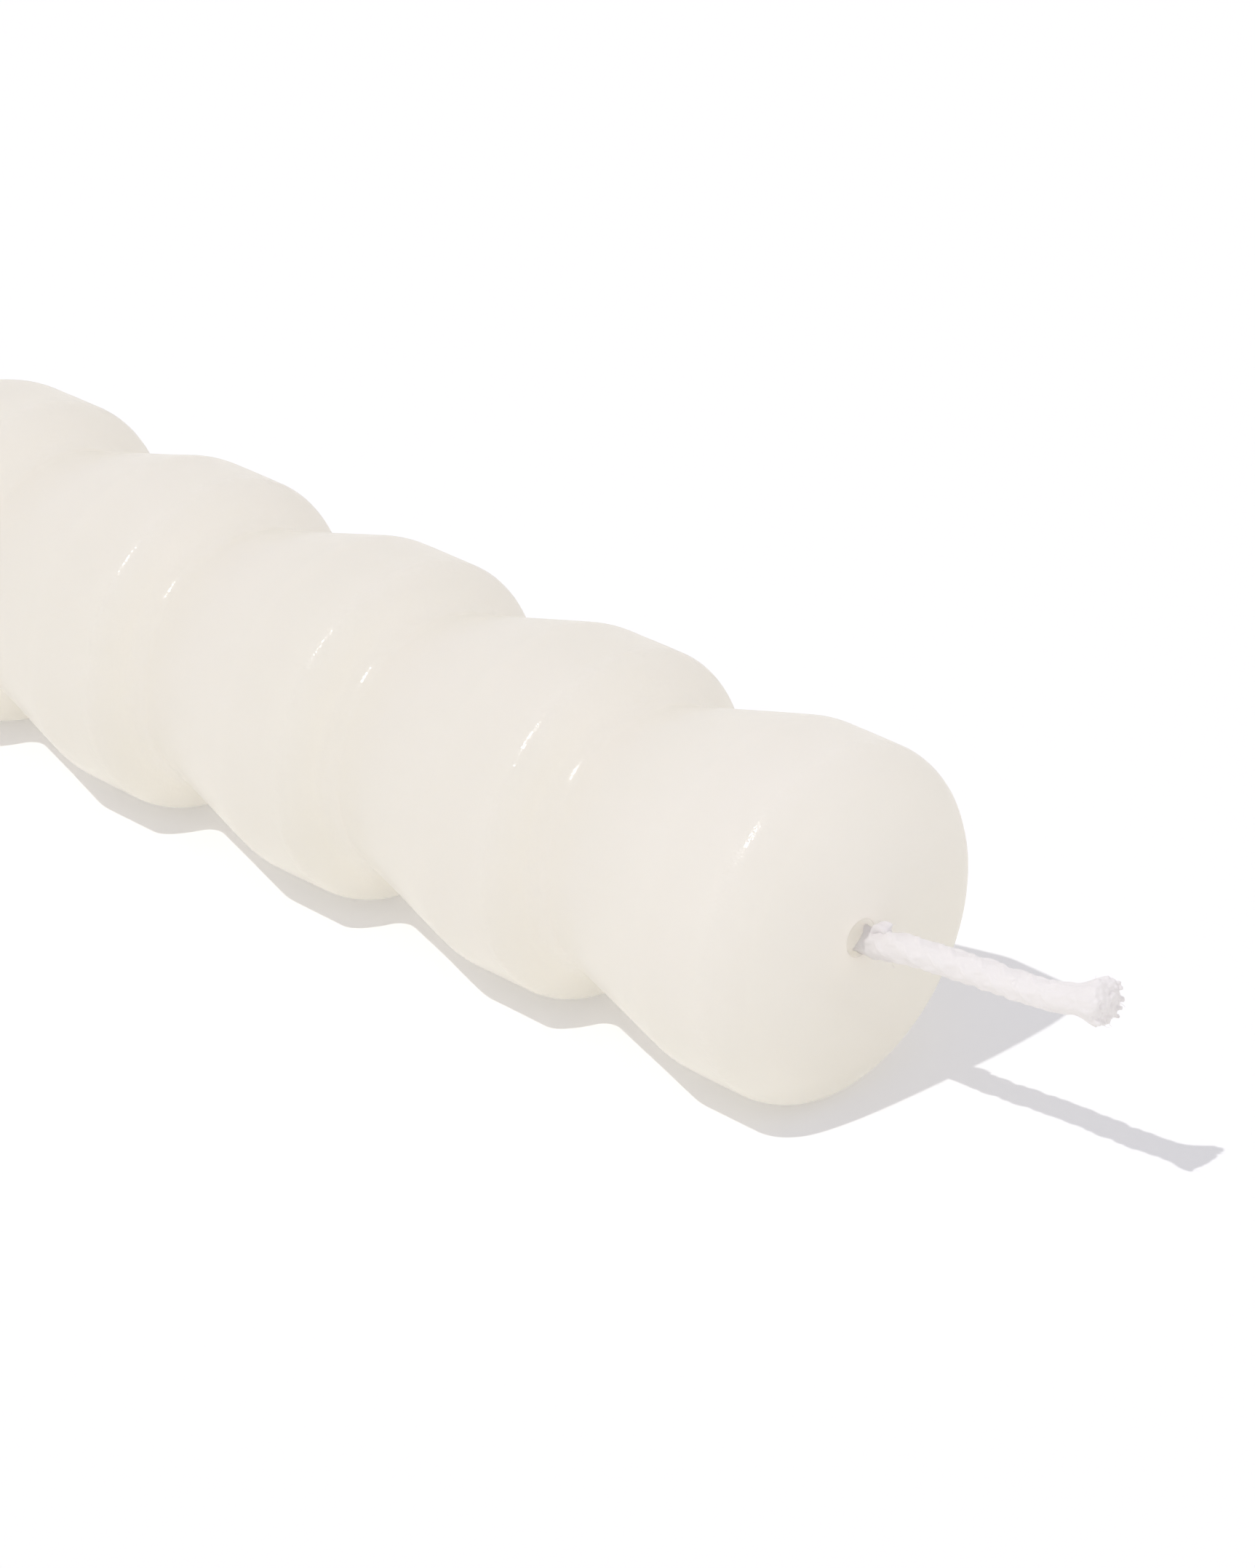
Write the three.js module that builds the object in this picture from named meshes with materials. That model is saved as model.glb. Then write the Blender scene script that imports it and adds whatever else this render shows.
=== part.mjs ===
// A ring-lobed taper candle, lying on its side: one moulded wax body and the wick that runs through it.
// Millimetres, +Z up. The candle's axis lies along X and the wick end points to +X.

import * as THREE from "three";

// Rings of the wax body
const RING_COUNT = 12;
const RIDGE_DIAMETER = 24;
const NECK_DIAMETER = 17.8;
const FLANK_LENGTH = 11.7;
const BAND_LENGTH = 5.5;
const SHOULDER_LENGTH = 2.2;
const SHOULDER_SWEEP = 61;

// Rounded end that the wick comes out of
const END_BAND_LENGTH = 5;
const END_EDGE_RADIUS = 2.5;
const END_DOME_ANGLE = 4;
const MOUTH_WIDENING = 0.4;
const MOUTH_DEPTH = 1.2;

// Plain plug that goes into a candlestick
const PLUG_LENGTH = 22;
const PLUG_DIAMETER = 21.6;
const PLUG_DRAFT = 0.4;
const PLUG_CHAMFER = 0.8;
const PLUG_ROUND_LENGTH = 2;

// Wick
const WICK_DIAMETER = 2;
const WICK_CLEARANCE = 0.3;
const FRAY_DIAMETER = 2.9;
const FRAY_LENGTH = 3.4;
const FRAY_TOOTH = 0.8;
const FRAY_HOLLOW = 0.7;

// The wick's bend past the wax: distance from the end face, then its lean in Y and Z
const WICK_BEND = [
  [-3, 0, 0],
  [0, 0.16, -0.16],
  [2.9, 0.41, 0.24],
  [8.5, 1.1, 0.53],
  [14.5, 1.35, 1.05],
  [18, 1.4, 1.95],
];

// Facets
const BODY_SIDES = 32;
const WICK_SIDES = 12;
const ARC_STEPS = 5;
const WICK_STEPS = 22;

const RIDGE_RADIUS = RIDGE_DIAMETER / 2;
const NECK_RADIUS = NECK_DIAMETER / 2;
const PLUG_RADIUS = PLUG_DIAMETER / 2;
const WICK_RADIUS = WICK_DIAMETER / 2;
const BORE_RADIUS = WICK_RADIUS + WICK_CLEARANCE;
const MOUTH_RADIUS = BORE_RADIUS + MOUTH_WIDENING / 2;
const RING_PITCH = FLANK_LENGTH + BAND_LENGTH + SHOULDER_LENGTH;
const LAST_NECK = PLUG_LENGTH + (RING_COUNT - 1) * RING_PITCH;
const EDGE_START = LAST_NECK + FLANK_LENGTH + END_BAND_LENGTH;

const radians = THREE.MathUtils.degToRad;

// Radius of a polygon's corners when its flats lie at the given radius
function cornerRadius(radius, sides) {
  return radius / Math.cos(Math.PI / sides);
}

// Points of an elliptic shoulder that falls from one radius to a smaller one over a length.
// The last point is left to what follows.
function shoulder(start, length, fromRadius, toRadius) {
  const sweep = radians(SHOULDER_SWEEP);
  const reach = length / Math.sin(sweep);
  const depth = (fromRadius - toRadius) / (1 - Math.cos(sweep));
  const points = [];
  for (let i = 0; i < ARC_STEPS; i += 1) {
    const angle = (sweep * i) / ARC_STEPS;
    points.push([start + reach * Math.sin(angle), fromRadius - depth * (1 - Math.cos(angle))]);
  }
  return points;
}

// Base face, chamfer, drafted side and shoulder of the plug
function plugProfile() {
  const footRadius = PLUG_RADIUS - PLUG_DRAFT;
  return [
    [0, footRadius - PLUG_CHAMFER],
    [PLUG_CHAMFER, footRadius],
    ...shoulder(PLUG_LENGTH - PLUG_ROUND_LENGTH, PLUG_ROUND_LENGTH, PLUG_RADIUS, NECK_RADIUS),
  ];
}

// One ring: the neck, a straight flank out to the ridge, the band, and the shoulder to the next neck
function ringProfile(index) {
  const neck = PLUG_LENGTH + index * RING_PITCH;
  const bandStart = neck + FLANK_LENGTH;
  return [
    [neck, NECK_RADIUS],
    [bandStart, RIDGE_RADIUS],
    ...shoulder(bandStart + BAND_LENGTH, SHOULDER_LENGTH, RIDGE_RADIUS, NECK_RADIUS),
  ];
}

// The dome that closes the wick end is part of a large sphere, tangent to the rounded edge.
const DOME_RIM_RADIUS = RIDGE_RADIUS - END_EDGE_RADIUS * (1 - Math.sin(radians(END_DOME_ANGLE)));
const DOME_SPHERE_RADIUS = DOME_RIM_RADIUS / Math.sin(radians(END_DOME_ANGLE));
const DOME_SPHERE_CENTRE =
  EDGE_START + (END_EDGE_RADIUS - DOME_SPHERE_RADIUS) * Math.cos(radians(END_DOME_ANGLE));

function domeHeight(radius) {
  return DOME_SPHERE_CENTRE + Math.sqrt(DOME_SPHERE_RADIUS ** 2 - radius ** 2);
}

const END_FACE = domeHeight(MOUTH_RADIUS);

// Last ring: neck, flank, a shorter band, the rounded edge and the dome down to the wick's mouth
function endProfile() {
  const points = [
    [LAST_NECK, NECK_RADIUS],
    [LAST_NECK + FLANK_LENGTH, RIDGE_RADIUS],
  ];
  const turn = radians(90 - END_DOME_ANGLE);
  for (let i = 0; i <= ARC_STEPS; i += 1) {
    const angle = (turn * i) / ARC_STEPS;
    const radius = RIDGE_RADIUS - END_EDGE_RADIUS * (1 - Math.cos(angle));
    points.push([EDGE_START + END_EDGE_RADIUS * Math.sin(angle), radius]);
  }
  const middle = (DOME_RIM_RADIUS + MOUTH_RADIUS) / 2;
  points.push([domeHeight(middle), middle]);
  points.push([END_FACE, MOUTH_RADIUS]);
  return points;
}

function waxBody() {
  const outline = [...plugProfile()];
  for (let i = 0; i < RING_COUNT - 1; i += 1) outline.push(...ringProfile(i));
  outline.push(...endProfile());
  outline.push([END_FACE - MOUTH_DEPTH, BORE_RADIUS], [0, BORE_RADIUS], outline[0]);
  const profile = outline.map(([x, radius]) => new THREE.Vector2(cornerRadius(radius, BODY_SIDES), x));
  // Half a facet of turn puts a flat at the bottom, where the candle rests on its ridges.
  return new THREE.LatheGeometry(profile, BODY_SIDES, Math.PI / BODY_SIDES).rotateZ(-Math.PI / 2);
}

// The wick's radius near its cut end: it opens out where the braid has come loose.
function wickRadius(distanceToTip) {
  const t = THREE.MathUtils.clamp(1 - distanceToTip / FRAY_LENGTH, 0, 1);
  return WICK_RADIUS + (FRAY_DIAMETER / 2 - WICK_RADIUS) * THREE.MathUtils.smoothstep(t, 0.1, 0.9);
}

function wick() {
  const bend = WICK_BEND.map(([x, y, z]) => new THREE.Vector3(END_FACE + x, y, z));
  const curve = new THREE.CatmullRomCurve3(bend, false, "centripetal");
  const length = curve.getLength();
  const stations = [{ at: new THREE.Vector3(0, 0, 0), along: new THREE.Vector3(1, 0, 0), radius: WICK_RADIUS }];
  for (let i = 0; i <= WICK_STEPS; i += 1) {
    const u = i / WICK_STEPS;
    const radius = wickRadius(length * (1 - u));
    stations.push({ at: curve.getPointAt(u), along: curve.getTangentAt(u), radius });
  }

  // Rings of corners, with every second corner of the last ring drawn out into a yarn end
  const positions = [];
  const indices = [];
  stations.forEach(({ at, along, radius }, ring) => {
    const side = new THREE.Vector3(0, 0, 1).cross(along).normalize();
    const up = along.clone().cross(side);
    for (let i = 0; i < WICK_SIDES; i += 1) {
      const angle = (2 * Math.PI * i) / WICK_SIDES;
      const reach = cornerRadius(radius, WICK_SIDES);
      const tooth = ring === stations.length - 1 && i % 2 === 0 ? FRAY_TOOTH : 0;
      const corner = at.clone().addScaledVector(side, reach * Math.cos(angle));
      corner.addScaledVector(up, reach * Math.sin(angle)).addScaledVector(along, tooth);
      positions.push(...corner.toArray());
    }
    if (ring === 0) return;
    const here = ring * WICK_SIDES;
    const before = here - WICK_SIDES;
    for (let i = 0; i < WICK_SIDES; i += 1) {
      const next = (i + 1) % WICK_SIDES;
      indices.push(before + i, before + next, here + i, before + next, here + next, here + i);
    }
  });

  // A flat foot, and a hollow between the yarn ends
  const last = stations[stations.length - 1];
  const foot = positions.length / 3;
  positions.push(...stations[0].at.toArray());
  positions.push(...last.at.clone().addScaledVector(last.along, -FRAY_HOLLOW).toArray());
  const tipRing = (stations.length - 1) * WICK_SIDES;
  for (let i = 0; i < WICK_SIDES; i += 1) {
    const next = (i + 1) % WICK_SIDES;
    indices.push(foot, next, i, foot + 1, tipRing + i, tipRing + next);
  }
  const geometry = new THREE.BufferGeometry();
  geometry.setAttribute("position", new THREE.Float32BufferAttribute(positions, 3));
  geometry.setIndex(indices);
  geometry.computeVertexNormals();
  return geometry;
}

function part(name, geometry, material) {
  const mesh = new THREE.Mesh(geometry, new THREE.MeshStandardMaterial(material));
  mesh.name = name;
  return mesh;
}

const candle = new THREE.Group();
candle.add(part("wax_body", waxBody(), { color: 0xefeae0, roughness: 0.35, metalness: 0 }));
candle.add(part("wick", wick(), { color: 0xf2eeec, roughness: 0.9, metalness: 0 }));

// The lowest flats touch the ground, and the whole length is centred on the origin.
const extent = new THREE.Box3().setFromObject(candle);
candle.position.set(-(extent.min.x + extent.max.x) / 2, 0, RIDGE_RADIUS);

export default candle;
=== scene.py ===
# A ring-lobed taper candle, lying on its side on a white table: one moulded wax body and its braided wick.
import math

import bmesh
import bpy
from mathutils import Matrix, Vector
from mathutils.kdtree import KDTree


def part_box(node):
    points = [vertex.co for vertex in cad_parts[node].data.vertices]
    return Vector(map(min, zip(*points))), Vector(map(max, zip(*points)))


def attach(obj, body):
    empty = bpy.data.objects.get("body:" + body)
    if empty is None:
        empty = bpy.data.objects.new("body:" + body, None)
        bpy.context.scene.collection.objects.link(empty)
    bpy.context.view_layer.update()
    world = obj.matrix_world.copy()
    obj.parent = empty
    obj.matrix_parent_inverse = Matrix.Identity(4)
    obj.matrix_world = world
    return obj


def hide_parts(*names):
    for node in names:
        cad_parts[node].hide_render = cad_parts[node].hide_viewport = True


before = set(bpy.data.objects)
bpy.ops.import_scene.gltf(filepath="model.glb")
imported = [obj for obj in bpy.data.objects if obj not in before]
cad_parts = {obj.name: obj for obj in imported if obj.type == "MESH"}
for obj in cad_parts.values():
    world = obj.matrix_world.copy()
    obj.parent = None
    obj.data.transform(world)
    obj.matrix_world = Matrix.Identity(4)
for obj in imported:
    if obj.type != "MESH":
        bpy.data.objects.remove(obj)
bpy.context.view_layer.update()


# Wax body
# One pour of ivory wax in a two-part silicone mould: twelve flared rings, a rounded wick end and a
# plain plug for the candlestick. It sets satin smooth, with soft unevenness, and the wick is cast in.

# The rings. Lengths are metres. A ring is a straight flank, a band and an elliptic shoulder.
RING_COUNT = 12
RIDGE_RADIUS = 0.012
NECK_RADIUS = 0.0089
FLANK_LENGTH = 0.0117
FLANK_ROUNDING = 0.005
BAND_LENGTH = 0.0055
SHOULDER_LENGTH = 0.0022
SHOULDER_SWEEP = math.radians(61)
VALLEY_ROUNDING = 0.0014

# The wick end, rounded and slightly domed, with the small mouth that the wick comes out of
END_BAND_LENGTH = 0.005
END_EDGE_RADIUS = 0.0025
END_DOME_ANGLE = math.radians(4)
MOUTH_RADIUS = 0.00112
MOUTH_LIP = 0.00014
MOUTH_DEPTH = 0.0004
PIT_ROUNDING = 0.0001

# Out of sight inside the wick, the wax rises in a low cone round a pinhole, which opens into the bore.
CONE_RADIUS = 0.0009
CONE_TOP_RADIUS = 0.00045
CONE_ROUNDING = 0.0003
PINHOLE_RADIUS = 0.0001
PINHOLE_DEPTH = 0.004
BORE_DEPTH = 0.006
BORE_RADIUS = 0.00102

# The plug, which is drafted towards its foot
PLUG_LENGTH = 0.022
PLUG_RADIUS = 0.0108
PLUG_FOOT_RADIUS = 0.0104
PLUG_FOOT_ROUNDING = 0.0009
PLUG_ROUND_LENGTH = 0.002

# How finely the wax is divided. Two outlines meet on a flank, at SEAM past its neck.
OUTLINE_STEP = 0.0008
FLANK_TOP_STEPS = 5
SLOPE_STEPS = 14
VALLEY_STEPS = 12
HALVINGS = 40
EDGE_STEPS = 16
DOME_POINTS = 9
LIP_STEPS = 6
LIP_GAPS = (0.0006, 0.0003, 0.00012, 0.00004)
NEAR_MOUTH = 0.003
PIT_STEPS = 5
BORE_STEPS = 12
BODY_SIDES = 140
SEAM = 0.004

RING_PITCH = FLANK_LENGTH + BAND_LENGTH + SHOULDER_LENGTH
FLANK_SLOPE = math.atan2(RIDGE_RADIUS - NECK_RADIUS, FLANK_LENGTH)
PLUG_ROUND_START = PLUG_LENGTH - PLUG_ROUND_LENGTH
BAND_END = FLANK_LENGTH + BAND_LENGTH
AXIS_HEIGHT = RIDGE_RADIUS
FOOT_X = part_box("wax_body")[0][0]


def rounded(before, corner, after, radius, steps):
    """Points of an arc that rounds the corner between two straight lines, as (distance, radius)."""
    corner = Vector(corner)
    inward = (Vector(before) - corner).normalized()
    outward = (Vector(after) - corner).normalized()
    half = inward.angle(outward) / 2
    middle = corner + (inward + outward).normalized() * radius / math.sin(half)
    start = corner + inward * radius / math.tan(half) - middle
    turn = math.pi - 2 * half
    if start.x * outward.y - start.y * outward.x < 0:
        turn = -turn
    points = []
    for i in range(steps + 1):
        angle = turn * i / steps
        points.append((
            middle.x + start.x * math.cos(angle) - start.y * math.sin(angle),
            middle.y + start.x * math.sin(angle) + start.y * math.cos(angle),
        ))
    return points


def straight(start, end):
    """Evenly spaced points between two points, without the two themselves."""
    count = max(1, round((Vector(end) - Vector(start)).length / OUTLINE_STEP))
    return [
        (start[0] + (end[0] - start[0]) * i / count, start[1] + (end[1] - start[1]) * i / count)
        for i in range(1, count)
    ]


def joined(*runs):
    """Runs of points one after another, with evenly spaced points along the gaps between them."""
    outline = list(runs[0])
    for run in runs[1:]:
        outline += straight(outline[-1], run[0]) + list(run)
    return outline


def shoulder(start, length, high, neck):
    """The elliptic fall from a ridge to a neck, and the round valley that turns it into the next flank."""
    reach = length / math.sin(SHOULDER_SWEEP)
    depth = (high - NECK_RADIUS) / (1 - math.cos(SHOULDER_SWEEP))

    def on_slope(angle):
        return Vector((start + reach * math.sin(angle), high - depth * (1 - math.cos(angle))))

    def outward(angle):
        return Vector((depth * math.sin(angle), reach * math.cos(angle))).normalized()

    # A ball as large as the valley rolls down the slope until it touches the flank too. Halving the
    # stretch between a clear place and a blocked one finds the spot.
    flank_normal = Vector((-math.sin(FLANK_SLOPE), math.cos(FLANK_SLOPE)))
    clear = 0.0
    blocked = SHOULDER_SWEEP
    for _ in range(HALVINGS):
        angle = (clear + blocked) / 2
        ball = on_slope(angle) + outward(angle) * VALLEY_ROUNDING
        if (ball - Vector((neck, NECK_RADIUS))).dot(flank_normal) > VALLEY_ROUNDING:
            clear = angle
        else:
            blocked = angle

    # The slope's points lie closer together where it curves most.
    steepest = math.atan(depth / reach * math.tan(angle))
    points = []
    for i in range(SLOPE_STEPS):
        points.append(tuple(on_slope(math.atan(math.tan(steepest * i / SLOPE_STEPS) * reach / depth))))
    first = math.atan2(outward(angle).y, outward(angle).x)
    last = math.pi / 2 + FLANK_SLOPE
    for i in range(VALLEY_STEPS + 1):
        facing = first + (last - first) * i / VALLEY_STEPS
        points.append((
            ball.x - VALLEY_ROUNDING * math.cos(facing),
            ball.y - VALLEY_ROUNDING * math.sin(facing),
        ))
    return points


def on_flank(neck, distance):
    """The point of a flank at a distance from its neck."""
    return (neck + distance, NECK_RADIUS + distance * math.tan(FLANK_SLOPE))


def flank_top(neck):
    """The soft edge where a flank reaches its band."""
    top = (neck + FLANK_LENGTH, RIDGE_RADIUS)
    past_top = (neck + BAND_END, RIDGE_RADIUS)
    return rounded(on_flank(neck, 0), top, past_top, FLANK_ROUNDING, FLANK_TOP_STEPS)


# One ring, from the foot of its flank over the band to the foot of the next flank
ring_outline = joined(
    [on_flank(0, SEAM)],
    flank_top(0),
    shoulder(BAND_END, SHOULDER_LENGTH, RIDGE_RADIUS, RING_PITCH),
    [on_flank(RING_PITCH, SEAM)],
)

# The plug: flat foot, small rounding, drafted side and a shoulder down to the first neck
foot_middle = (0, BORE_RADIUS)
foot_corner = (0, PLUG_FOOT_RADIUS)
plug_side = (PLUG_ROUND_START, PLUG_RADIUS)
plug_outline = joined(
    [foot_middle],
    rounded(foot_middle, foot_corner, plug_side, PLUG_FOOT_ROUNDING, LIP_STEPS),
    shoulder(PLUG_ROUND_START, PLUG_ROUND_LENGTH, PLUG_RADIUS, PLUG_LENGTH),
    [on_flank(PLUG_LENGTH, SEAM)],
)

# The wick end: a shorter band, a rounded edge and a dome, which is part of a large ball
last_neck = PLUG_LENGTH + (RING_COUNT - 1) * RING_PITCH
edge_start = last_neck + FLANK_LENGTH + END_BAND_LENGTH
rim_radius = RIDGE_RADIUS - END_EDGE_RADIUS * (1 - math.sin(END_DOME_ANGLE))
dome_radius = rim_radius / math.sin(END_DOME_ANGLE)
dome_centre = edge_start + (END_EDGE_RADIUS - dome_radius) * math.cos(END_DOME_ANGLE)


def dome(radius):
    """The point of the dome at a distance from the candle's axis."""
    return (dome_centre + math.sqrt(dome_radius ** 2 - radius ** 2), radius)


end_edge = []
for i in range(EDGE_STEPS + 1):
    angle = (math.pi / 2 - END_DOME_ANGLE) * i / EDGE_STEPS
    end_edge.append((
        edge_start + END_EDGE_RADIUS * math.sin(angle),
        RIDGE_RADIUS - END_EDGE_RADIUS * (1 - math.cos(angle)),
    ))

# The dome's points close up towards the mouth, so that the shading of its lip stays narrow.
dome_points = [dome(rim_radius - OUTLINE_STEP * i) for i in range(1, DOME_POINTS + 1)]
beside_lip = [dome(MOUTH_RADIUS + MOUTH_LIP + gap) for gap in LIP_GAPS]
end_face = dome(MOUTH_RADIUS)[0]
pit_floor = end_face - MOUTH_DEPTH
mouth_corner = (end_face, MOUTH_RADIUS)
pit_corner = (pit_floor, MOUTH_RADIUS)
cone_foot = (pit_floor, CONE_RADIUS)
cone_top = (end_face, CONE_TOP_RADIUS)
pinhole = [(end_face + PINHOLE_RADIUS, PINHOLE_RADIUS), (pit_floor - PINHOLE_DEPTH, PINHOLE_RADIUS)]
end_outline = joined(
    [on_flank(last_neck, SEAM)],
    flank_top(last_neck),
    end_edge,
    dome_points,
    beside_lip,
    rounded(dome(NEAR_MOUTH), mouth_corner, pit_corner, MOUTH_LIP, LIP_STEPS),
    rounded(mouth_corner, pit_corner, (pit_floor, 0), PIT_ROUNDING, PIT_STEPS),
    rounded(pit_corner, cone_foot, cone_top, CONE_ROUNDING, PIT_STEPS),
    [cone_top] + pinhole,
)
end_outline += [
    ((pit_floor - BORE_DEPTH) * (1 - i / BORE_STEPS), BORE_RADIUS) for i in range(BORE_STEPS)
]


class Result:
    """The output of a node. Arithmetic on it adds maths nodes to its tree."""

    def __init__(self, socket):
        self.socket = socket
        self.tree = socket.id_data

    def apply(self, operation, *others):
        """The result of a maths node of the right kind, with this result as its first value."""
        kind = "ShaderNodeVectorMath" if self.socket.type == "VECTOR" else "ShaderNodeMath"
        return result(self.tree, kind, dict(enumerate((self, *others))), operation=operation)

    def scaled(self, amount):
        """This vector times a number."""
        return result(self.tree, "ShaderNodeVectorMath", {0: self, "Scale": amount}, operation="SCALE")

    def __add__(self, other):
        return self.apply("ADD", other)

    def __sub__(self, other):
        return self.apply("SUBTRACT", other)

    def __mul__(self, other):
        return self.apply("MULTIPLY", other)

    def __truediv__(self, other):
        return self.apply("DIVIDE", other)

    def __mod__(self, other):
        return self.apply("MODULO", other)


def feed(node, inputs):
    """
    Sets a node's inputs by name, or by number where a node has several of one name. Each takes a plain
    value, a result or the output of an earlier node.
    """
    for name, value in inputs.items():
        if isinstance(value, Result):
            value = value.socket
        if isinstance(value, bpy.types.NodeSocket):
            node.id_data.links.new(value, node.inputs[name])
        else:
            node.inputs[name].default_value = value


def add(tree, kind, inputs=None, **settings):
    """A new node with its settings and inputs."""
    made = tree.nodes.new(kind)
    for name, value in settings.items():
        setattr(made, name, value)
    feed(made, inputs or {})
    return made


def result(tree, kind, inputs=None, output=0, **settings):
    """One output of a new node: the first, unless another is asked for."""
    return Result(add(tree, kind, inputs, **settings).outputs[output])


def noise(tree, place, scale, detail, roughness):
    """The value of a noise texture, 0 to 1."""
    inputs = {"Vector": place, "Scale": scale, "Detail": detail, "Roughness": roughness}
    return result(tree, "ShaderNodeTexNoise", inputs, "Fac")


def mapped(tree, value, source, target, **settings):
    """A value carried over from a source range to a target range."""
    inputs = {
        "Value": value,
        "From Min": source[0],
        "From Max": source[1],
        "To Min": target[0],
        "To Max": target[1],
    }
    return result(tree, "ShaderNodeMapRange", inputs, "Result", **settings)


def tinted(tree, value, positions, colours):
    """The colour of a ramp between two colours at two positions."""
    made = add(tree, "ShaderNodeValToRGB", {"Fac": value})
    for stop, position, colour in zip(made.color_ramp.elements, positions, colours):
        stop.position = position
        stop.color = (*colour, 1)
    return Result(made.outputs["Color"])


def mixed(tree, share, first, second, blend="MIX"):
    """Two colours mixed, with a share of the second."""
    inputs = {0: share, 6: first, 7: second}
    return result(tree, "ShaderNodeMix", inputs, 2, data_type="RGBA", blend_type=blend)


def new_material(name):
    """A material, its tree and its main shader."""
    made = bpy.data.materials.new(name)
    made.use_nodes = True
    return made, made.node_tree, made.node_tree.nodes["Principled BSDF"]


def let_through(tree, shader, share, colour):
    """Ends a material in its main shader, with a share of the light that comes through from behind."""
    through = add(tree, "ShaderNodeBsdfTranslucent", {"Color": (*colour, 1)})
    both = add(tree, "ShaderNodeMixShader", {0: share, 1: shader.outputs[0], 2: through.outputs[0]})
    feed(tree.nodes["Material Output"], {"Surface": both.outputs[0]})


def growing_tree(name, sizes):
    """A Geometry Nodes tree with named sizes, and its group inputs, ready for its own nodes."""
    tree = bpy.data.node_groups.new(name, "GeometryNodeTree")
    tree.interface.new_socket("Geometry", in_out="INPUT", socket_type="NodeSocketGeometry")
    tree.interface.new_socket("Geometry", in_out="OUTPUT", socket_type="NodeSocketGeometry")
    for label, kind in sizes.items():
        tree.interface.new_socket(label, in_out="INPUT", socket_type="NodeSocket" + kind)
    tree.interface.new_socket("Material", in_out="INPUT", socket_type="NodeSocketMaterial")
    return tree, {socket.name: Result(socket) for socket in tree.nodes.new("NodeGroupInput").outputs}


def gathered(tree, *shapes):
    """Several geometries as one."""
    whole = add(tree, "GeometryNodeJoinGeometry")
    for shape in shapes:
        feed(whole, {0: shape})
    return Result(whole.outputs[0])


def close_tree(tree, geometry, material):
    """Ends a tree in Realize Instances and Set Material."""
    real = result(tree, "GeometryNodeRealizeInstances", {"Geometry": geometry})
    painted = result(tree, "GeometryNodeSetMaterial", {"Geometry": real, "Material": material})
    add(tree, "NodeGroupOutput", {"Geometry": painted})


def put_in_scene(name, data):
    """A new object in the scene."""
    made = bpy.data.objects.new(name, data)
    bpy.context.scene.collection.objects.link(made)
    return made


def made_plain(piece):
    """Turns a piece with modifiers into a plain mesh."""
    plain = bpy.data.meshes.new_from_object(piece.evaluated_get(bpy.context.evaluated_depsgraph_get()))
    piece.modifiers.clear()
    piece.data = plain
    plain.name = piece.name
    return piece


def grown(name, seed_mesh, tree, values):
    """A plain mesh object grown from a seed mesh by a tree, with the named inputs set."""
    piece = put_in_scene(name, seed_mesh)
    modifier = piece.modifiers.new(tree.name, "NODES")
    modifier.node_group = tree
    sockets = {item.name: item.identifier for item in tree.interface.items_tree if item.in_out == "INPUT"}
    for label, value in values.items():
        modifier[sockets[label]] = value
    piece.update_tag()
    return made_plain(piece)


def new_attribute(mesh, name, kind, values):
    """Stores one value for each point of a mesh."""
    field = "vector" if kind == "FLOAT_VECTOR" else "value"
    mesh.attributes.new(name, kind, "POINT").data.foreach_set(field, values)


# Ivory wax. Light enters it, spreads, and leaves again on the far side, a little yellower, so that the
# shaded flanks and the shadow under them glow. The skin is glossy, with faint ripples from the mould
# and fine nicks on its worn edges. Inside the wick's mouth the base colour is darkened: painted shade
# for the hollow.
WAX_COLOURS = [(0.852, 0.814, 0.782), (0.882, 0.834, 0.822)]
# Painted shade: this colour darkens the wax inside the wick's mouth, where the hollow lies in shade
MOUTH_PAINTED_SHADE = (0.75, 0.75, 0.7, 1)

wax, tree, skin = new_material("ivory wax")
place = result(tree, "ShaderNodeTexCoord", output="Object")
clouds = noise(tree, place, scale=70.0, detail=3.0, roughness=0.55)
bloom = noise(tree, place, scale=420.0, detail=3.0, roughness=0.6)
ripples = noise(tree, place, scale=900.0, detail=2.0, roughness=0.5)
nicks = noise(tree, place, scale=2300.0, detail=2.0, roughness=0.6)
# Where the painted shade of the wick's mouth goes
painted_shade_in_mouth = result(tree, "ShaderNodeAttribute", output="Fac", attribute_name="mouth")
worn = result(tree, "ShaderNodeAttribute", output="Fac", attribute_name="worn")
tint = tinted(tree, clouds, (0.32, 0.68), WAX_COLOURS)
rippled = result(tree, "ShaderNodeBump", {"Height": ripples, "Strength": 0.25, "Distance": 0.00003})
nicked = result(tree, "ShaderNodeBump", {
    "Height": nicks * worn,
    "Strength": 1.0,
    "Distance": 0.00006,
    "Normal": rippled,
})
feed(skin, {
    # The wax's tint, darkened inside the mouth by painted shade
    "Base Color": mixed(tree, painted_shade_in_mouth, tint, MOUTH_PAINTED_SHADE, "MULTIPLY"),
    "Roughness": mapped(tree, bloom, source=(0.3, 0.7), target=(0.14, 0.24)),
    "Normal": nicked,
    "Subsurface Weight": 1.0,
    "Subsurface Radius": (1.0, 0.9, 0.7),
    "Subsurface Scale": 0.004,
    "IOR": 1.44,
    "Specular IOR Level": 0.9,
})
skin.subsurface_method = "BURLEY"
let_through(tree, skin, share=0.6, colour=(0.976, 0.97, 0.94))

# The mould's outline: the plug, one ring and the wick end, each with its worn edge and its neck. The
# attribute "worn" is highest just past the edge and in the neck, and fades over a millimetre or so.
RING_SECTION = 1
END_SECTION = 2
EDGE_WEAR_PLACE = 0.0004
EDGE_WEAR_FADE = 0.0011
NECK_WEAR = 0.7
NECK_WEAR_FADE = 0.0016
# The attribute "mouth" marks the points inside the wick's mouth, which get the painted shade
MOUTH_MARGIN = 0.00003

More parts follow.
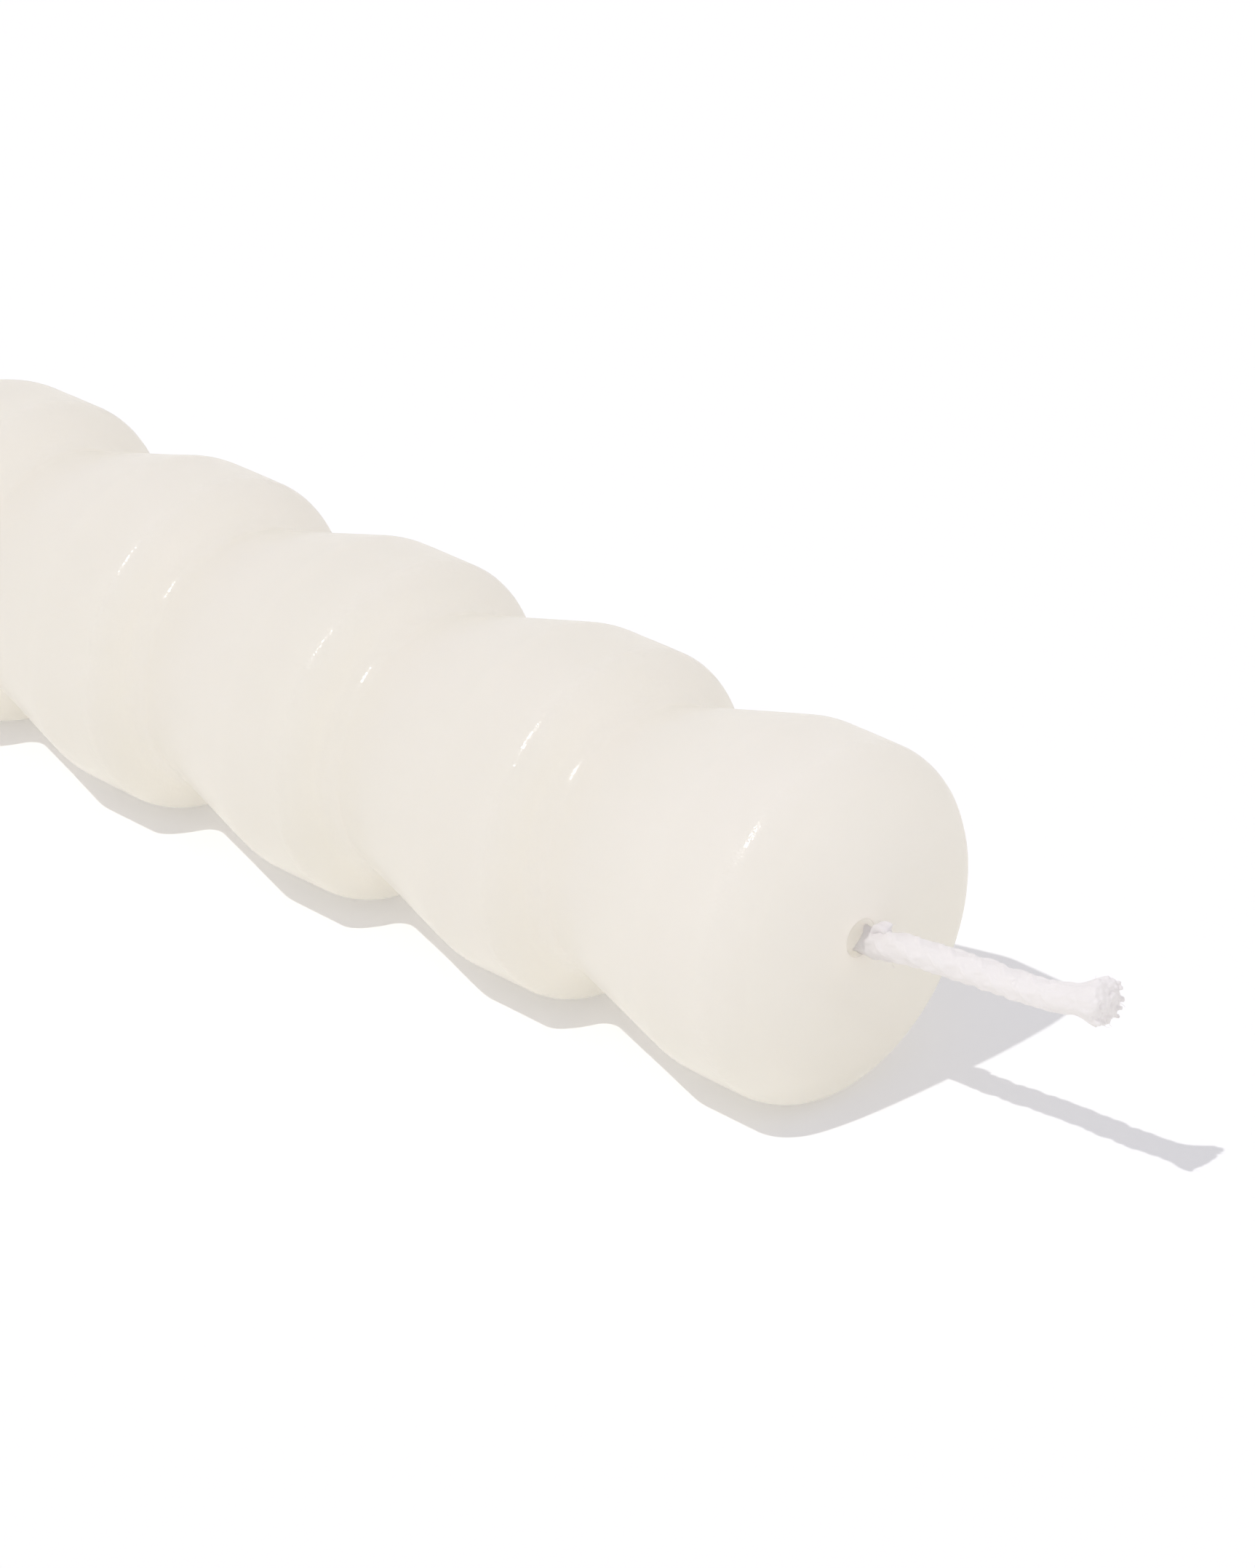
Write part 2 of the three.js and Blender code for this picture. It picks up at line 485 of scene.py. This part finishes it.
outlines = [
    (plug_outline, PLUG_ROUND_START, PLUG_LENGTH),
    (ring_outline, BAND_END, RING_PITCH),
    (end_outline, edge_start, last_neck),
]
points, edges, sections, wear, mouth = [], [], [], [], []
for section, (outline, edge, neck) in enumerate(outlines):
    first = len(points)
    start = PLUG_LENGTH if section == RING_SECTION else 0
    for distance, radius in outline:
        edge_wear = 1 - abs(distance - (edge + EDGE_WEAR_PLACE)) / EDGE_WEAR_FADE
        neck_wear = NECK_WEAR - abs(distance - neck) / NECK_WEAR_FADE
        points.append((radius, distance + start, 0))
        sections.append(section)
        wear.append(max(0, edge_wear, neck_wear))
        mouth.append(float(section == END_SECTION and radius < MOUTH_RADIUS + MOUTH_MARGIN))
    edges += [(i, i + 1) for i in range(first, len(points) - 1)]
edges.append((len(points) - 1, 0))
mould = bpy.data.meshes.new("mould outline")
mould.from_pydata(points, edges, [])
new_attribute(mould, "section", "INT", sections)
new_attribute(mould, "worn", "FLOAT", wear)
new_attribute(mould, "mouth", "FLOAT", mouth)

# The ring is repeated along the candle, and the whole outline is swept once round a tiny circle.
SWEEP_RADIUS = 0.001
WELD_DISTANCE = 0.000002

tree, sizes = growing_tree("ring stack", {
    "Rings": "Int",
    "Pitch": "Float",
    "Sides": "Int",
    "Unevenness": "Float",
    "Foot": "Vector",
})
number = result(
    tree, "GeometryNodeInputNamedAttribute", {"Name": "section"}, "Attribute", data_type="INT",
)
is_ring = result(
    tree, "FunctionNodeCompare", {2: number, 3: RING_SECTION}, data_type="INT", operation="EQUAL",
)
parts = add(tree, "GeometryNodeSeparateGeometry", {
    "Geometry": sizes["Geometry"],
    "Selection": is_ring,
}, domain="POINT").outputs
step = result(tree, "ShaderNodeCombineXYZ", {"Y": sizes["Pitch"]})
places = result(tree, "GeometryNodeMeshLine", {"Count": sizes["Rings"], "Offset": step})
rings = result(tree, "GeometryNodeInstanceOnPoints", {
    "Points": places,
    "Instance": parts["Selection"],
})
rings = result(tree, "GeometryNodeRealizeInstances", {"Geometry": rings})
outline = gathered(tree, parts["Inverted"], rings)
outline = result(tree, "GeometryNodeMergeByDistance", {"Geometry": outline, "Distance": WELD_DISTANCE})
outline = result(tree, "GeometryNodeMeshToCurve", {"Mesh": outline})
inset = result(tree, "GeometryNodeTransform", {
    "Geometry": outline,
    "Translation": (-SWEEP_RADIUS, 0, 0),
})
turn = result(tree, "GeometryNodeCurvePrimitiveCircle", {
    "Resolution": sizes["Sides"],
    "Radius": SWEEP_RADIUS,
}, mode="RADIUS")
swept = result(tree, "GeometryNodeCurveToMesh", {"Curve": turn, "Profile Curve": inset})
laid = result(tree, "GeometryNodeTransform", {
    "Geometry": swept,
    "Translation": sizes["Foot"],
    "Rotation": (0, -math.pi / 2, 0),
})
place = result(tree, "GeometryNodeInputPosition")
swell = (noise(tree, place, scale=120.0, detail=1.0, roughness=0.4) - 0.5) * sizes["Unevenness"]
offset = result(tree, "GeometryNodeInputNormal").scaled(swell)
uneven = result(tree, "GeometryNodeSetPosition", {"Geometry": laid, "Offset": offset})
smooth = result(tree, "GeometryNodeSetShadeSmooth", {"Geometry": uneven})
close_tree(tree, smooth, sizes["Material"])

wax_body = grown("wax_body_moulded", mould, tree, {
    "Rings": RING_COUNT - 1,
    "Pitch": RING_PITCH,
    "Sides": BODY_SIDES,
    "Unevenness": 0.00014,
    "Foot": (FOOT_X, 0, AXIS_HEIGHT),
    "Material": wax,
})
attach(wax_body, "root")
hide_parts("wax_body")


# Wick
# Eight carriers of three-ply cotton, braided round and soaked with wax, so that the braid hardly shows.
# It is cast in the wax from end to end, leans out of its mouth, and frays where it was cut.

# The bend, as places measured from the middle of the end face: along the candle, across it and up
WICK_BEND = [
    (-0.004, 0, 0),
    (-0.0014, 0.0005, -0.0004),
    (0, 0.00062, -0.00044),
    (0.0011, 0.00058, -0.00028),
    (0.0029, 0.00041, 0.00024),
    (0.0085, 0.0011, 0.00053),
    (0.0145, 0.00135, 0.00105),
    (0.0163, 0.00145, 0.0015),
    (0.0186, 0.002, 0.0019),
]

# A strand that has sprung out of the braid at its root, measured in the same way
LIFTED_STRAND = [
    (0.0009, 0.00045, 0.0001),
    (0.0009, 0.00045, 0.0006),
    (0.0011, 0.00045, 0.00084),
    (0.0014, 0.00045, 0.00093),
    (0.00165, 0.00045, 0.00095),
    (0.00185, 0.00045, 0.00086),
]
FACE_X = FOOT_X + end_face
PATH_STEP = 0.00025
LIFTED_STEP = 0.00015


def smooth_path(bend, step):
    """Evenly spaced points along a smooth curve through places measured from the end face."""
    spline = bpy.data.curves.new("path", "CURVE")
    spline.dimensions = "3D"
    spline.resolution_u = 24
    line = spline.splines.new("BEZIER")
    line.bezier_points.add(len(bend) - 1)
    for point, (along, across, up) in zip(line.bezier_points, bend):
        point.co = (FACE_X + along, across, AXIS_HEIGHT + up)
        point.handle_left_type = point.handle_right_type = "AUTO"
    guide = bpy.data.objects.new("path", spline)
    dense = [vertex.co.copy() for vertex in guide.to_mesh().vertices]
    guide.to_mesh_clear()
    bpy.data.objects.remove(guide)
    path = [dense[0]]
    covered = 0.0
    for start, end in zip(dense, dense[1:]):
        length = (end - start).length
        while covered + length >= step * len(path):
            path.append(start.lerp(end, (step * len(path) - covered) / length))
        covered += length
    return path


# Waxed cotton: off-white and matt, with fine fibres that run along the wick. The attribute "laid" says
# where each point lies on the wick.
COTTON_COLOURS = [(0.87, 0.847, 0.86), (0.93, 0.912, 0.93)]

cotton, tree, shader = new_material("waxed cotton")
laid = result(tree, "ShaderNodeAttribute", output="Vector", attribute_name="laid")
fibres = noise(tree, laid, scale=5200.0, detail=3.0, roughness=0.6)
patches = noise(tree, laid, scale=700.0, detail=2.0, roughness=0.5)
feed(shader, {
    "Base Color": tinted(tree, fibres * 0.4 + patches * 0.6, (0.3, 0.7), COTTON_COLOURS),
    "Roughness": mapped(tree, patches, source=(0.3, 0.7), target=(0.45, 0.75)),
    "Normal": result(tree, "ShaderNodeBump", {"Height": fibres, "Strength": 0.5, "Distance": 0.00004}),
    "Sheen Weight": 0.15,
    "Sheen Roughness": 0.5,
})
let_through(tree, shader, share=0.45, colour=(0.935, 0.92, 0.93))


def drawn(low, high, seed, number=None):
    """A random value between two others, drawn anew for each ply or each point."""
    vectors = isinstance(low, tuple)
    inputs = {0: low, 1: high} if vectors else {2: low, 3: high}
    inputs["Seed"] = seed
    if number is not None:
        inputs["ID"] = number
    kind = "FLOAT_VECTOR" if vectors else "FLOAT"
    return result(seed.tree, "FunctionNodeRandomValue", inputs, 0 if vectors else 1, data_type=kind)


def tube(path, radius, sides):
    """A round tube along a curve, closed at its ends."""
    ring = result(path.tree, "GeometryNodeCurvePrimitiveCircle", {
        "Resolution": sides,
        "Radius": radius,
    }, mode="RADIUS")
    return result(path.tree, "GeometryNodeCurveToMesh", {
        "Curve": path,
        "Profile Curve": ring,
        "Fill Caps": True,
    })


# The braid: three plies to a carrier, carriers by turns left-handed and right-handed, over and under.
# Towards its cut end the plies come loose and fan out. A plain tube fills the braid up to there.
PLIES_IN_CARRIER = 3.0
CROSSINGS = 4.0
PLY_TWIST = 2.3
PLY_REACH = 0.9
STRAY = 0.00012
FILLING_OVERLAP = 0.0008
WHOLE_TURN = 6.283

tree, sizes = growing_tree("braid", {
    "Plies": "Int",
    "Samples": "Int",
    "Ply Radius": "Float",
    "Braid Radius": "Float",
    "Weave Depth": "Float",
    "Lay": "Float",
    "Filling": "Float",
    "Hollow": "Float",
    "Scatter": "Float",
    "Fray Length": "Float",
    "Fray Spread": "Vector",
    "Cut Unevenness": "Float",
    "Dome": "Float",
    "Seed": "Int",
})
path = result(tree, "GeometryNodeMeshToCurve", {"Mesh": sizes["Geometry"]})
length = result(tree, "GeometryNodeCurveLength", {"Curve": path})
line = result(tree, "GeometryNodeCurvePrimitiveLine", {"Start": (0, 0, 0), "End": (1, 0, 0)})
line = result(tree, "GeometryNodeResampleCurve", {"Curve": line, "Count": sizes["Samples"]})
plies = add(tree, "GeometryNodeDuplicateElements", {
    "Geometry": line,
    "Amount": sizes["Plies"],
}, domain="SPLINE").outputs
number = Result(plies["Duplicate Index"])

# Each ply's own draws: how much is cut off it, how far out it lies, and where round the wick it
# starts. Outer plies are cut shorter, by up to the dome, and the root packs them evenly.
seed = sizes["Seed"]
cut = drawn(0.0, sizes["Cut Unevenness"], seed, number)
out = drawn(sizes["Hollow"], 1.0, seed + 3.0, number)
cut = cut + out * sizes["Dome"]
out = out.apply("SQRT")
swing = drawn(0.0, sizes["Scatter"], seed + 5.0, number)

# The place on the wick's path
share = result(tree, "GeometryNodeSplineParameter", output="Factor")
along = share * (length - cut)
spot = add(tree, "GeometryNodeSampleCurve", {"Curves": path, "Length": along}, mode="LENGTH").outputs
centre, tangent, normal = (Result(spot[name]) for name in ("Position", "Tangent", "Normal"))
binormal = tangent.apply("CROSS_PRODUCT", normal)

# Each carrier's plies wind round each other, and the carriers wind round the path. They come in pairs
# that start together and wind opposite ways, each pair a quarter of a turn on from the last.
carrier = ((number + 0.5) / PLIES_IN_CARRIER).apply("FLOOR")
ply = number - carrier * PLIES_IN_CARRIER
hand = carrier % 2.0 * -2.0 + 1.0
pair = ((carrier + 0.5) / 2.0).apply("FLOOR")
wind = along / sizes["Lay"] * (2 * math.pi)
angle = wind * hand + pair * (math.pi / 2) + swing
over = (wind * CROSSINGS).apply("COSINE") * (hand * sizes["Weave Depth"])
twist = wind * PLY_TWIST + ply * (2 * math.pi / PLIES_IN_CARRIER)
ply_reach = sizes["Ply Radius"] * PLY_REACH
away = sizes["Braid Radius"] * out + over + ply_reach * twist.apply("COSINE")
aside = ply_reach * twist.apply("SINE")
cosine = angle.apply("COSINE")
sine = angle.apply("SINE")
radial = normal.scaled(cosine) + binormal.scaled(sine)
sideways = binormal.scaled(cosine) - normal.scaled(sine)

# The fray fans the plies out, the outer ones most, and lets each one stray a little.
fray_start = length - sizes["Fray Length"]
loose = mapped(
    tree, along, source=(fray_start, length), target=(0.0, 1.0), interpolation_type="SMOOTHERSTEP",
)
fan = (radial * sizes["Fray Spread"]).scaled(loose * out)
stray = drawn((-STRAY, -STRAY, -STRAY), (STRAY, STRAY, STRAY), seed + 7.0, number)
fan = fan + stray.scaled(loose)
goal = centre + (radial.scaled(away) + sideways.scaled(aside)) + fan
placed = result(tree, "GeometryNodeSetPosition", {"Geometry": plies["Geometry"], "Position": goal})
thinning = mapped(tree, loose, source=(0.4, 1.0), target=(1.0, 0.9))
placed = result(tree, "GeometryNodeSetCurveRadius", {"Curve": placed, "Radius": thinning})
filled = result(tree, "GeometryNodeTrimCurve", {
    "Curve": path,
    4: 0.0,
    5: fray_start + FILLING_OVERLAP,
}, mode="LENGTH")
whole = gathered(
    tree,
    tube(placed, sizes["Ply Radius"], sides=8),
    tube(filled, sizes["Filling"], sides=16),
)
close_tree(tree, whole, sizes["Material"])
braid = tree

# Sizes of the whole wick, and those that differ where it doesn't fray and in its frayed end. A fray
# can't be of no length, so where there is none it is a hundredth of a millimetre.
WHOLE_WICK = {
    "Plies": 24,
    "Ply Radius": 0.00023,
    "Braid Radius": 0.00058,
    "Weave Depth": 0.00004,
    "Lay": 0.0085,
    "Filling": 0.00087,
    "Hollow": 1.0,
    "Scatter": 0.0,
    "Fray Length": 0.0008,
    "Fray Spread": (0.0, 0.0001, 0.0),
    "Cut Unevenness": 0.0004,
    "Dome": 0.0,
    "Seed": 4,
    "Material": cotton,
}
UNFRAYED = {
    "Fray Length": 0.00001,
    "Fray Spread": (0, 0, 0),
    "Cut Unevenness": 0.0,
}
FRAYED = {
    "Samples": 24,
    "Braid Radius": 0.00064,
    "Weave Depth": 0.0,
    "Lay": 0.06,
    "Scatter": WHOLE_TURN,
    "Fray Length": 0.0029,
    "Fray Spread": (0.0001, 0.00092, 0.00074),
}

# Stretches of the wick, counted in points of the path
BRAID_SHORT_BY = 8
TUFT_POINTS = 18
FOOT_POINTS = 21
FOOT_OUTSIDE = 0.001


def braided(name, path, *changes):
    """A stretch of wick along a path, with changes to the sizes of the whole wick."""
    sizes = dict(WHOLE_WICK)
    for change in changes:
        sizes.update(change)
    seed = bpy.data.meshes.new(name + " path")
    seed.from_pydata(path, [(i, i + 1) for i in range(len(path) - 1)], [])
    return grown(name, seed, braid, sizes)


# The braid stops short of the cut, where a dense tuft takes over, with single tips that stand out of it.
wick_path = smooth_path(WICK_BEND, PATH_STEP)
tuft_path = wick_path[-TUFT_POINTS:]
free = braided("free end", wick_path[:-BRAID_SHORT_BY], {"Samples": 160})
tuft = braided("tuft", tuft_path, FRAYED, {
    "Plies": 320,
    "Ply Radius": 0.00019,
    "Filling": 0.00055,
    "Hollow": 0.0,
    "Cut Unevenness": 0.0004,
    "Dome": 0.00055,
    "Seed": 11,
})
tips = braided("tips", tuft_path, FRAYED, {
    "Plies": 46,
    "Ply Radius": 0.00015,
    "Filling": 0.0003,
    "Hollow": 0.4,
    "Cut Unevenness": 0.0009,
    "Seed": 23,
})
lifted = braided("lifted strand", smooth_path(LIFTED_STRAND, LIFTED_STEP), UNFRAYED, {
    "Plies": 3,
    "Samples": 20,
    "Ply Radius": 0.00026,
    "Braid Radius": 0.00016,
    "Weave Depth": 0.0,
    "Lay": 0.03,
    "Filling": 0.00015,
})

# The foot's stretch starts outside the wax, and is cut off level with it further on.
foot_start = FOOT_X - FOOT_OUTSIDE
foot_path = [Vector((foot_start + PATH_STEP * i, 0, AXIS_HEIGHT)) for i in range(FOOT_POINTS)]
foot = braided("foot end", foot_path, UNFRAYED, {"Samples": 40, "Filling": 0.00099})


def joined_pieces(first, *others):
    """The first piece with the others' meshes added to its own."""
    together = bmesh.new()
    for piece in (first, *others):
        together.from_mesh(piece.data)
    together.to_mesh(first.data)
    together.free()
    for piece in others:
        bpy.data.objects.remove(piece)
    return first


def soaked(piece, voxel, rounds):
    """Fuses the plies as wax does: a fine remesh, softened."""
    remesh = piece.modifiers.new("soak", "REMESH")
    remesh.mode = "VOXEL"
    remesh.voxel_size = voxel
    soften = piece.modifiers.new("soften", "SMOOTH")
    soften.factor = 0.5
    soften.iterations = rounds
    return made_plain(piece)


# Tuft and tips are fused with the free end, because a shell inside a shell would stop the light.
soaked(joined_pieces(free, tuft, tips), voxel=0.000065, rounds=12)
soaked(lifted, voxel=0.00005, rounds=14)
soaked(foot, voxel=0.00007, rounds=16)
joined_pieces(free, lifted)

# The foot is cut off level with the wax, and a plain core joins the two ends through the bore.
CORE_RADIUS = 0.0009
CORE_INSET = 0.003
CORE_SIDES = 24
CORE_STEPS = 16

whole = bmesh.new()
whole.from_mesh(foot.data)
cut = bmesh.ops.bisect_plane(
    whole, geom=whole.verts[:] + whole.edges[:] + whole.faces[:], dist=1e-7,
    plane_co=(FOOT_X, 0, 0), plane_no=(-1, 0, 0), clear_outer=True,
)
rim = [edge for edge in cut["geom_cut"] if isinstance(edge, bmesh.types.BMEdge)]
bmesh.ops.holes_fill(whole, edges=rim, sides=0)
whole.from_mesh(free.data)
rings = []
for i in range(CORE_STEPS + 1):
    x = FOOT_X + CORE_INSET + (FACE_X - FOOT_X - 2 * CORE_INSET) * i / CORE_STEPS
    ring = []
    for j in range(CORE_SIDES):
        angle = 2 * math.pi * j / CORE_SIDES
        across = CORE_RADIUS * math.cos(angle)
        up = AXIS_HEIGHT + CORE_RADIUS * math.sin(angle)
        ring.append(whole.verts.new((x, across, up)))
    rings.append(ring)
core = []
for here, there in zip(rings, rings[1:]):
    for j in range(CORE_SIDES):
        k = (j + 1) % CORE_SIDES
        core.append(whole.faces.new((here[j], there[j], there[k], here[k])))
core.append(whole.faces.new(rings[0]))
core.append(whole.faces.new(list(reversed(rings[-1]))))
bmesh.ops.recalc_face_normals(whole, faces=core)

# Everything is smooth but the flat face of the cut foot.
FLAT_MARGIN = 0.000001
for face in whole.faces:
    face.smooth = face.calc_center_median().x > FOOT_X + FLAT_MARGIN
wick_mesh = bpy.data.meshes.new("wick_braided")
whole.to_mesh(wick_mesh)
whole.free()
for piece in (free, foot):
    bpy.data.objects.remove(piece)

# Where each point lies on the wick, drawn out along it, so that the material's fibres follow the bend
FIBRE_STRETCH = 0.18

path_tree = KDTree(len(wick_path))
for i, point in enumerate(wick_path):
    path_tree.insert(point, i)
path_tree.balance()
laid = []
for vertex in wick_mesh.vertices:
    if vertex.co.x > FACE_X + WICK_BEND[0][0]:
        middle = path_tree.find(vertex.co)[0]
    else:
        middle = Vector((0, 0, AXIS_HEIGHT))
    offset = vertex.co - middle
    laid += [(vertex.co.x - FACE_X) * FIBRE_STRETCH, offset.y, offset.z]
new_attribute(wick_mesh, "laid", "FLOAT_VECTOR", laid)
wick_mesh.materials.append(cotton)

# Stray fibres stand off the free end. One hooked fibre is repeated, turned and scaled at random.
FIBRE_RADIUS = 0.000009
FIBRE_HOOK = {"Start": (0, 0, 0), "Middle": (0.00012, 0, 0.0002), "End": (0.0004, 0.00005, 0.00028)}
FIBRES_TO_SQUARE_METRE = 200000.0
FIBRES_FROM_FACE = 0.001

tree, sizes = growing_tree("stray fibres", {"Density": "Float", "From": "Float", "Seed": "Int"})
place = result(tree, "GeometryNodeInputPosition")
x = result(tree, "ShaderNodeSeparateXYZ", {0: place})
is_free = result(
    tree, "FunctionNodeCompare", {0: x, 1: sizes["From"]}, data_type="FLOAT", operation="GREATER_THAN",
)
roots = add(tree, "GeometryNodeDistributePointsOnFaces", {
    "Mesh": sizes["Geometry"],
    "Selection": is_free,
    "Density": sizes["Density"],
    "Seed": sizes["Seed"],
}).outputs
hook = result(tree, "GeometryNodeCurveQuadraticBezier", {"Resolution": 5, **FIBRE_HOOK})
facing = result(tree, "FunctionNodeRotateRotation", {
    "Rotation": roots["Rotation"],
    "Rotate By": drawn((0, 0, 0), (0.5, 0.5, WHOLE_TURN), sizes["Seed"]),
}, rotation_space="LOCAL")
fibres = result(tree, "GeometryNodeInstanceOnPoints", {
    "Points": roots["Points"],
    "Instance": tube(hook, FIBRE_RADIUS, sides=6),
    "Rotation": facing,
    "Scale": drawn(0.4, 1.5, sizes["Seed"]),
})
close_tree(tree, gathered(tree, fibres, sizes["Geometry"]), sizes["Material"])

wick = grown("wick_braided", wick_mesh, tree, {
    "Density": FIBRES_TO_SQUARE_METRE,
    "From": FACE_X + FIBRES_FROM_FACE,
    "Seed": 2,
    "Material": cotton,
})
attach(wick, "root")
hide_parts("wick")


# Table
# The white surface that the candle lies on, wide enough to have no edge in view. It is matt paint, and
# the light that it throws up at the wax is a little warmer than the white that the camera sees.
TABLE_REACH = 3
TABLE_WARM = (0.97, 0.967, 0.88, 1)
TABLE_WHITE = (1.0, 1.0, 1.02, 1)

corners = [(-1, -1), (1, -1), (1, 1), (-1, 1)]
top = bpy.data.meshes.new("table")
top.from_pydata([(TABLE_REACH * x, TABLE_REACH * y, 0) for x, y in corners], [], [(0, 1, 2, 3)])
table = put_in_scene("table", top)
paint, tree, shader = new_material("white table")
tree.nodes.remove(shader)
ray = tree.nodes.new("ShaderNodeLightPath").outputs
seen = Result(ray["Is Camera Ray"]).apply("MAXIMUM", ray["Is Glossy Ray"])
matt = result(tree, "ShaderNodeBsdfDiffuse", {"Color": mixed(tree, seen, TABLE_WARM, TABLE_WHITE)})
feed(tree.nodes["Material Output"], {"Surface": matt})
top.materials.append(paint)


# Light
# One high sun from the camera's side throws the short, sharp shadow. A bright white sky fills in the
# rest, and is brighter to the camera and in reflections than in the light that it gives.
SUN_DIRECTION = Vector((-0.100, -0.515, 0.851))
SKY_COLOUR = (1.0, 0.99, 1.02, 1)
SKY_LIGHT = 0.67
SKY_SEEN = 1.0

sun = bpy.data.lights.new("sun", "SUN")
sun.energy = 1.25
sun.color = (1.0, 0.99, 0.96)
sun.angle = math.radians(0.7)
sun = put_in_scene("sun", sun)
sun.rotation_euler = SUN_DIRECTION.to_track_quat("Z", "Y").to_euler()

sky = bpy.data.worlds.new("sky")
sky.use_nodes = True
tree = sky.node_tree
ray = tree.nodes.new("ShaderNodeLightPath").outputs
seen = Result(ray["Is Glossy Ray"]).apply("MAXIMUM", ray["Is Transmission Ray"])
seen = Result(ray["Is Camera Ray"]).apply("MAXIMUM", seen)
strength = mapped(tree, seen, source=(0.0, 1.0), target=(SKY_LIGHT, SKY_SEEN))
feed(tree.nodes["Background"], {"Color": SKY_COLOUR, "Strength": strength})
bpy.context.scene.world = sky


# Camera
# It looks down at the wick end from the front right, close enough to crop the far rings. Its place is
# measured from the middle of the end face.
END_FACE_MIDDLE = Vector((FACE_X, 0, AXIS_HEIGHT))
CAMERA_OFFSET = Vector((0.18289, -0.20593, 0.15092))
CAMERA_BACK = Vector((0.6257, -0.6342, 0.4542))

camera = bpy.data.cameras.new("camera")
camera.sensor_fit = "VERTICAL"
camera.sensor_height = 36
camera.lens = 116.16
camera.clip_start = 0.01
camera = put_in_scene("camera", camera)
camera.location = END_FACE_MIDDLE + CAMERA_OFFSET
camera.rotation_euler = CAMERA_BACK.to_track_quat("Z", "Y").to_euler()
bpy.context.scene.camera = camera
bpy.context.scene.view_settings.view_transform = "Standard"
